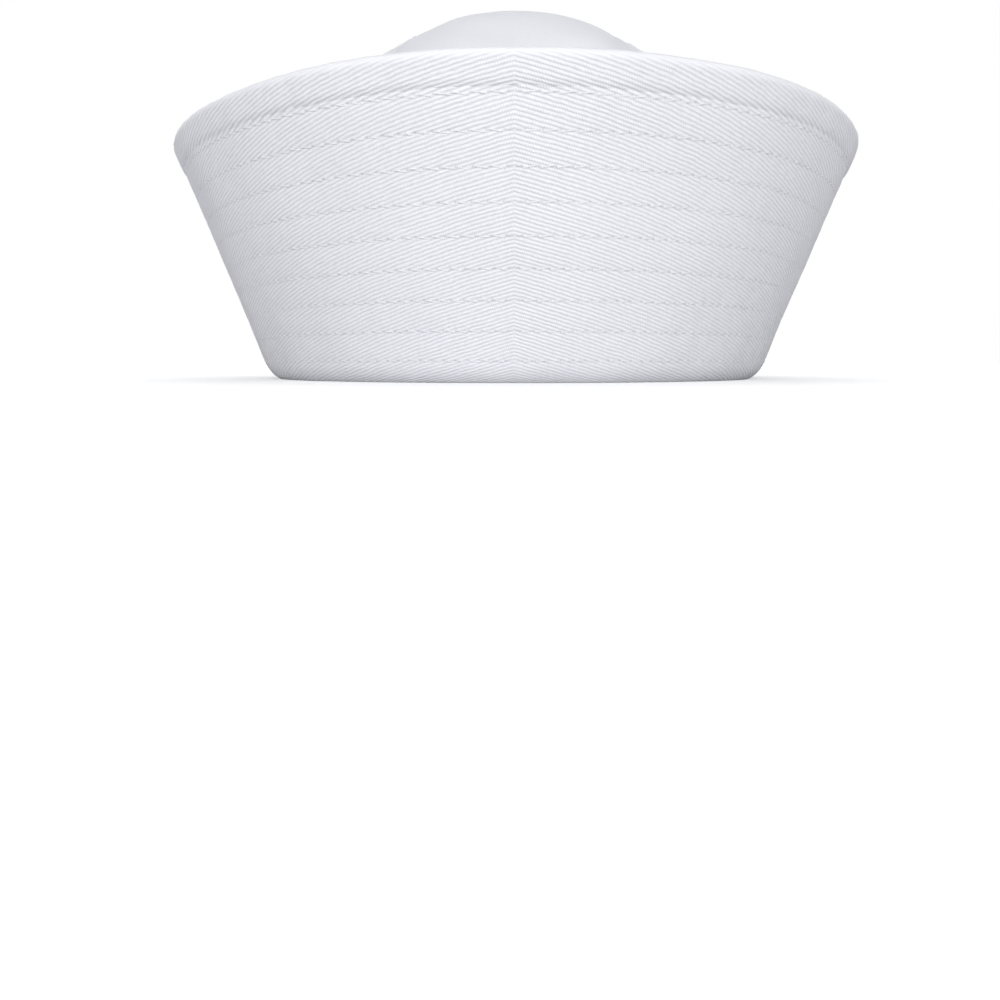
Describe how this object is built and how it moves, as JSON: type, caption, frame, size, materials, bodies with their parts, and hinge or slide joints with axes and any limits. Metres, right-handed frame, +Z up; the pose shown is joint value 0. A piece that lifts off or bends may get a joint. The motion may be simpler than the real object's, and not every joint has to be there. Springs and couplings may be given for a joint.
{
  "type": "sailor cap",
  "caption": "White cotton twill sailor cap: a domed gored crown inside a deep, row-stitched brim that is turned up all round, with a hem and a sweatband.",
  "frame": {"origin": "on the surface that the cap rests on, under the middle of the crown", "axes": "-Y is the front of the cap, +X is its wearer's left and the right of a viewer facing it, +Z is up through the crown"},
  "size_m": [0.2248, 0.2676, 0.119],
  "materials": {
    "crown_twill": "matte white cotton twill",
    "brim_twill": "matte white cotton twill, quilted in rows",
    "hem_twill": "matte white cotton twill",
    "sweatband_cotton": "matte white plain cotton"
  },
  "bodies": {
    "root": {"crown_gore_front": "crown_twill", "crown_gore_right": "crown_twill", "crown_gore_back": "crown_twill", "crown_gore_left": "crown_twill", "brim_left": "brim_twill", "brim_right": "brim_twill", "hem_left": "hem_twill", "hem_right": "hem_twill", "sweatband": "sweatband_cotton"}
  },
  "joints": []
}
